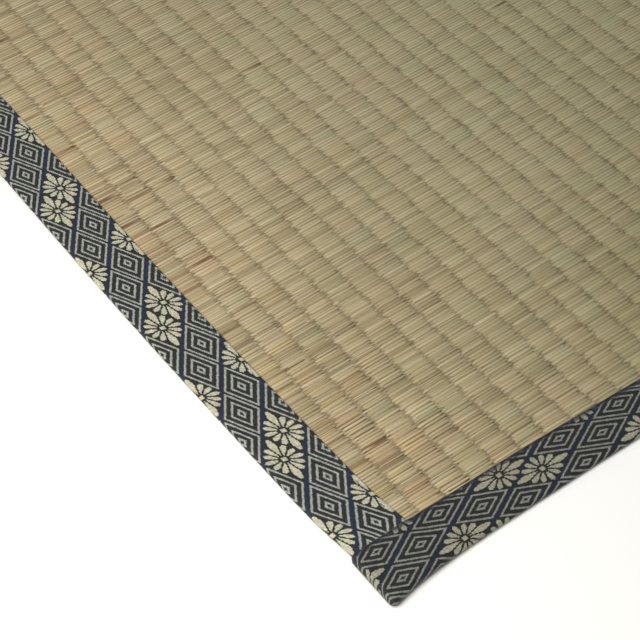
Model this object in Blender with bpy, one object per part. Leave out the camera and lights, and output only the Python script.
"""Rush grass carpet: a woven rush panel bound on four sides with brocade tape.

The carpet lies flat on the plane z = 0 with its length along Y and its rushes
along X. The origin is on the floor under the middle of the carpet. Sizes below
are in millimetres, and the meshes are made in metres.
"""
import math

import bmesh
import bpy

MM = 0.001

# Driving sizes of the whole carpet
CARPET_WIDTH = 880.0         # along X, over the widest place of the side bindings
CARPET_LENGTH = 1760.0       # along Y, over the corner tips of the end bindings
HALF_WIDTH = CARPET_WIDTH / 2
HALF_LENGTH = CARPET_LENGTH / 2

# Woven rush panel
PANEL_THICKNESS = 2.0        # in the grooves over the warps
PRESSED_THICKNESS = 1.6      # inside the folded tape
RIB_RISE = 0.4               # a rib of rush stands this much above the grooves
RIB_PITCH = 14.0             # from warp groove to warp groove
RIB_GROOVE_HALF = 2.5        # half the width of a groove
FIRST_GROOVE = 43.8          # from the left edge of the carpet
PANEL_INSET = 8.0            # the panel stops this far inside the carpet's edge

# Folded binding tape
TAPE = 1.0                   # thickness of the folded tape
GAP = 0.3                    # between neighbouring pieces
SIDE_TAPE_WIDTH = 29.5       # what shows on top, on the long sides
END_TAPE_WIDTH = 25.6        # the same on the short sides, away from the corners
HEM_CHAMFER = 1.2            # the hem's edge on top is rounded down

# Uneven edges of the real thing
SIDE_WAVE = 0.9              # the long sides weave in and out by this much
SIDE_WAVE_LENGTH = 440.0
SIDE_WAVE_FADE = 0.25        # the wave is this much weaker halfway along, twice over
SIDE_PULL = 2.4              # the side tape is drawn in where the end tape covers it
SIDE_PULL_REACH = 16.0
END_FLARE = 6.1              # the end tape's corners stick out past its middle
END_FLARE_REACH = 23.0
END_WAVE = 0.9               # the end tape's inner edge weaves in and out
END_WAVE_LENGTH = 220.0
END_WAVE_START = 85.0        # from a long side to the first widest place
TIP_INSET = 2.5              # the end tape's tips lie inside the widest place
TIP_RADIUS = 3.0             # of a tip, seen from above
TIP_WALL = 1.4               # closed end of the end tape, also its upright rounding

# Where the layers below lift the panel and the tapes
LAYER = TAPE + GAP
SIDE_ZONE = 36.0             # level strip along a long side
END_ZONE = 35.0              # level strip along a short side
TOP_MARGIN = 3.0             # the end tape comes down this far past the side tape
RAMP = 30.0                  # from lifted down to the floor
CHANNEL_HEIGHT = PRESSED_THICKNESS + 2 * LAYER

# How finely the shapes are divided
RAMP_STEPS = 5
RIM_STEPS = 6                # facets round the folded edge
TIP_STEPS = 3                # round the upright edge of a tip
OVER_SIDE_STEPS = 5          # along an end tape, over the side tape
SIDE_RUN_STEPS = 20          # along half a side tape
END_RUN_STEPS = 10           # along half an end tape
SMOOTH_BELOW = 40.0          # degrees between faces that are shaded as one

RUSH_COLOUR = (0.43, 0.37, 0.22, 1.0)
RUSH_ROUGHNESS = 0.6
TAPE_COLOUR = (0.09, 0.10, 0.11, 1.0)
TAPE_ROUGHNESS = 0.5


def spread(start, stop, steps):
    """Evenly spaced values from start to stop, both included."""
    return [start + (stop - start) * i / steps for i in range(steps + 1)]


def both_ways(distances, half):
    """Stations measured inwards from both edges, from -half to +half."""
    low = [-half + d for d in distances]
    return low + [-x for x in reversed(low)]


def ramp_stations(start):
    """Stations down a ramp that begins at start."""
    return spread(start, start + RAMP, RAMP_STEPS)


def rise(from_edge, zone):
    """1 on the level strip along an edge, easing to 0 past the ramp."""
    t = (zone + RAMP - from_edge) / RAMP
    t = min(max(t, 0.0), 1.0)
    return t * t * (3 - 2 * t)


def side_rise(x):
    return rise(HALF_WIDTH - abs(x), SIDE_ZONE)


def end_rise(y):
    return rise(HALF_LENGTH - abs(y), END_ZONE)


def side_edge(y):
    """How far a long side lies inside the widest place."""
    from_end = HALF_LENGTH - abs(y)
    fade = 1 - SIDE_WAVE_FADE * (1 - math.cos(2 * math.pi * from_end / CARPET_LENGTH))
    wave = SIDE_WAVE * fade * (1 + math.cos(2 * math.pi * from_end / SIDE_WAVE_LENGTH))
    past_tape = max(from_end - END_ZONE, 0.0)
    return wave + SIDE_PULL * math.exp(-past_tape / SIDE_PULL_REACH)


def end_edge(x):
    """How far a short side lies inside the corner tips, with the tips rounded."""
    from_tip = HALF_WIDTH - TIP_INSET - abs(x)
    past_round = max(from_tip - TIP_RADIUS, 0.0)
    into_round = max(TIP_RADIUS - from_tip, 0.0)
    flare = END_FLARE * (1 - math.exp(-past_round / END_FLARE_REACH))
    return flare + TIP_RADIUS - math.sqrt(TIP_RADIUS ** 2 - into_round ** 2)


def end_hem(x):
    """The end tape's inner edge, measured from the corner tips."""
    from_edge = HALF_WIDTH - abs(x)
    turn = 2 * math.pi * (from_edge - END_WAVE_START) / END_WAVE_LENGTH
    return END_FLARE + END_TAPE_WIDTH + END_WAVE * math.cos(turn)


def end_height(x):
    """Height of the end tape, which also covers the side tapes at the corners."""
    from_edge = HALF_WIDTH - abs(x)
    return CHANNEL_HEIGHT + 2 * LAYER * rise(from_edge, SIDE_ZONE + TOP_MARGIN)


def arc(centre, radius_u, radius_v, start, stop, steps):
    """Points (u, v) on an ellipse, angles in degrees."""
    points = []
    for degrees in spread(start, stop, steps):
        a = math.radians(degrees)
        points.append((centre[0] + radius_u * math.cos(a), centre[1] + radius_v * math.sin(a)))
    return points


def outer_profile(width, height):
    """Folded tape from the bottom hem, round the rim, to the top hem."""
    reach = CHANNEL_HEIGHT / 2
    rim = arc((reach, height / 2), reach, height / 2, 270, 90, RIM_STEPS)
    hem = [(width - HEM_CHAMFER, height), (width, height - TAPE / 2)]
    return [(width, 0.0)] + rim + hem


def inner_profile(mouth, height):
    """The space inside the fold, from the top of its mouth round to the bottom."""
    reach = CHANNEL_HEIGHT / 2
    rim = arc((reach, height / 2), reach - TAPE, height / 2 - TAPE, 90, 270, RIM_STEPS)
    return [(mouth, height - TAPE)] + rim + [(mouth, TAPE)]


def add_rings(bm, rings):
    """A closed body through rings of points in millimetres."""
    made = []
    for ring in rings:
        made.append([bm.verts.new([c * MM for c in point]) for point in ring])
    for near, far in zip(made, made[1:]):
        for i in range(len(near)):
            j = (i + 1) % len(near)
            bm.faces.new((near[i], near[j], far[j], far[i]))
    bm.faces.new(made[0])
    bm.faces.new(made[-1])


def add_grid(bm, xs, ys, height):
    """A surface over stations xs and ys. Returns its rows of points."""
    rows = []
    for y in ys:
        rows.append([bm.verts.new((x * MM, y * MM, height(x, y) * MM)) for x in xs])
    for near, far in zip(rows, rows[1:]):
        for i in range(len(xs) - 1):
            bm.faces.new((near[i], near[i + 1], far[i + 1], far[i]))
    return rows


def join_rims(bm, upper, lower, axis):
    """Triangles between two edges that run the same way with different stations."""
    i = 0
    j = 0
    while i < len(upper) - 1 or j < len(lower) - 1:
        lower_done = j == len(lower) - 1
        upper_next = i < len(upper) - 1
        if upper_next and (lower_done or upper[i + 1].co[axis] <= lower[j + 1].co[axis]):
            bm.faces.new((upper[i], upper[i + 1], lower[j]))
            i += 1
        else:
            bm.faces.new((upper[i], lower[j + 1], lower[j]))
            j += 1


def make_material(name, colour, roughness):
    material = bpy.data.materials.new(name)
    material.use_nodes = True
    shader = material.node_tree.nodes["Principled BSDF"]
    shader.inputs["Base Color"].default_value = colour
    shader.inputs["Roughness"].default_value = roughness
    shader.inputs["Metallic"].default_value = 0.0
    return material


def make_object(name, bm, material):
    """A named object whose faces point outwards."""
    bmesh.ops.recalc_face_normals(bm, faces=bm.faces)
    mesh = bpy.data.meshes.new(name)
    bm.to_mesh(mesh)
    bm.free()
    mesh.shade_smooth()
    mesh.set_sharp_from_angle(angle=math.radians(SMOOTH_BELOW))
    mesh.materials.append(material)
    piece = bpy.data.objects.new(name, mesh)
    bpy.context.collection.objects.link(piece)
    return piece


def make_panel():
    """The woven rush panel: ribbed on top, lifted along its edges by the tapes."""
    edge_x = HALF_WIDTH - PANEL_INSET
    edge_y = HALF_LENGTH - PANEL_INSET
    level_x = HALF_WIDTH - SIDE_ZONE

    def floor_height(x, y):
        return LAYER * (side_rise(x) + end_rise(y))

    def top_height(x, y):
        from_groove = (x + HALF_WIDTH - FIRST_GROOVE) % RIB_PITCH
        from_groove = min(from_groove, RIB_PITCH - from_groove)
        shape = min(from_groove / RIB_GROOVE_HALF, 1.0)
        open_share = 1 - max(side_rise(x), end_rise(y))
        pressed = PRESSED_THICKNESS * (1 - open_share)
        ribbed = (PANEL_THICKNESS + RIB_RISE * shape) * open_share
        return floor_height(x, y) + pressed + ribbed

    ribs = []
    groove = FIRST_GROOVE - HALF_WIDTH
    while groove < level_x:
        for x in (groove - RIB_GROOVE_HALF, groove, groove + RIB_GROOVE_HALF):
            if abs(x) < level_x:
                ribs.append(x)
        groove += RIB_PITCH
    fine_xs = [-edge_x, -level_x] + ribs + [level_x, edge_x]

    coarse_xs = both_ways([PANEL_INSET] + ramp_stations(SIDE_ZONE), HALF_WIDTH)
    ys = both_ways([PANEL_INSET] + ramp_stations(END_ZONE), HALF_LENGTH)

    bm = bmesh.new()
    top = add_grid(bm, fine_xs, ys, top_height)
    under = add_grid(bm, coarse_xs, ys, floor_height)
    for row in (0, -1):
        join_rims(bm, top[row], under[row], 0)
    for column in (0, -1):
        join_rims(bm, [r[column] for r in top], [r[column] for r in under], 1)
    rush = make_material("woven_rush", RUSH_COLOUR, RUSH_ROUGHNESS)
    return make_object("rush_panel", bm, rush)


def make_side_binding(name, side, material):
    """Tape folded over a long side. Both its ends lie inside the end tapes."""
    ramp = ramp_stations(END_ZONE)
    run = spread(ramp[-1], HALF_LENGTH, SIDE_RUN_STEPS)
    ys = both_ways([PANEL_INSET] + ramp + run[1:-1], HALF_LENGTH)
    section = outer_profile(SIDE_TAPE_WIDTH, CHANNEL_HEIGHT)
    section += inner_profile(SIDE_TAPE_WIDTH, CHANNEL_HEIGHT)
    rings = []
    for y in ys:
        lift = LAYER * end_rise(y)
        edge = HALF_WIDTH - side_edge(y)
        rings.append([(side * (edge - u), y, v + lift) for u, v in section])
    bm = bmesh.new()
    add_rings(bm, rings)
    return make_object(name, bm, material)


def end_ring(x, end, profile, squeeze):
    """One section of an end tape; squeeze rounds it off at a tip."""
    half_height = end_height(x) / 2
    ring = []
    for u, v in profile:
        y = end * (HALF_LENGTH - end_edge(x) - u)
        ring.append((x, y, half_height + (v - half_height) * squeeze))
    return ring


def make_end_binding(name, end, material):
    """Tape folded over a short side and over the side tapes, closed at both tips."""
    half = HALF_WIDTH - TIP_INSET
    turn = [TIP_WALL * (1 - math.cos(math.radians(a))) for a in spread(0, 90, TIP_STEPS)]
    over_side = spread(TIP_RADIUS, SIDE_ZONE + TOP_MARGIN - TIP_INSET, OVER_SIDE_STEPS)
    ramp = ramp_stations(over_side[-1])
    run = spread(ramp[-1], half, END_RUN_STEPS)
    past_tip = over_side + ramp[1:] + run[1:-1]

    outer = []
    for x in both_ways(turn + past_tip, half):
        into_turn = max(TIP_WALL - (half - abs(x)), 0.0)
        shoulder = TIP_WALL - math.sqrt(TIP_WALL ** 2 - into_turn ** 2)
        squeeze = 1 - 2 * shoulder / end_height(x)
        profile = outer_profile(end_hem(x) - end_edge(x), end_height(x))
        outer.append(end_ring(x, end, profile, squeeze))
    bm = bmesh.new()
    add_rings(bm, outer)
    tape = make_object(name, bm, material)

    pocket = []
    for x in both_ways([TIP_WALL] + past_tip, half):
        profile = inner_profile(end_hem(x) - end_edge(x) + TAPE, end_height(x))
        pocket.append(end_ring(x, end, profile, 1.0))
    bm = bmesh.new()
    add_rings(bm, pocket)
    cutter = make_object(name + "_pocket", bm, material)
    cutter.hide_render = True
    cutter.display_type = "WIRE"

    cut = tape.modifiers.new("pocket", "BOOLEAN")
    cut.operation = "DIFFERENCE"
    cut.solver = "EXACT"
    cut.object = cutter
    return tape


def main():
    for old in list(bpy.data.objects):
        bpy.data.objects.remove(old, do_unlink=True)
    make_panel()
    brocade = make_material("brocade_tape", TAPE_COLOUR, TAPE_ROUGHNESS)
    make_side_binding("side_binding_left", -1, brocade)
    make_side_binding("side_binding_right", 1, brocade)
    make_end_binding("end_binding_front", -1, brocade)
    make_end_binding("end_binding_back", 1, brocade)


main()
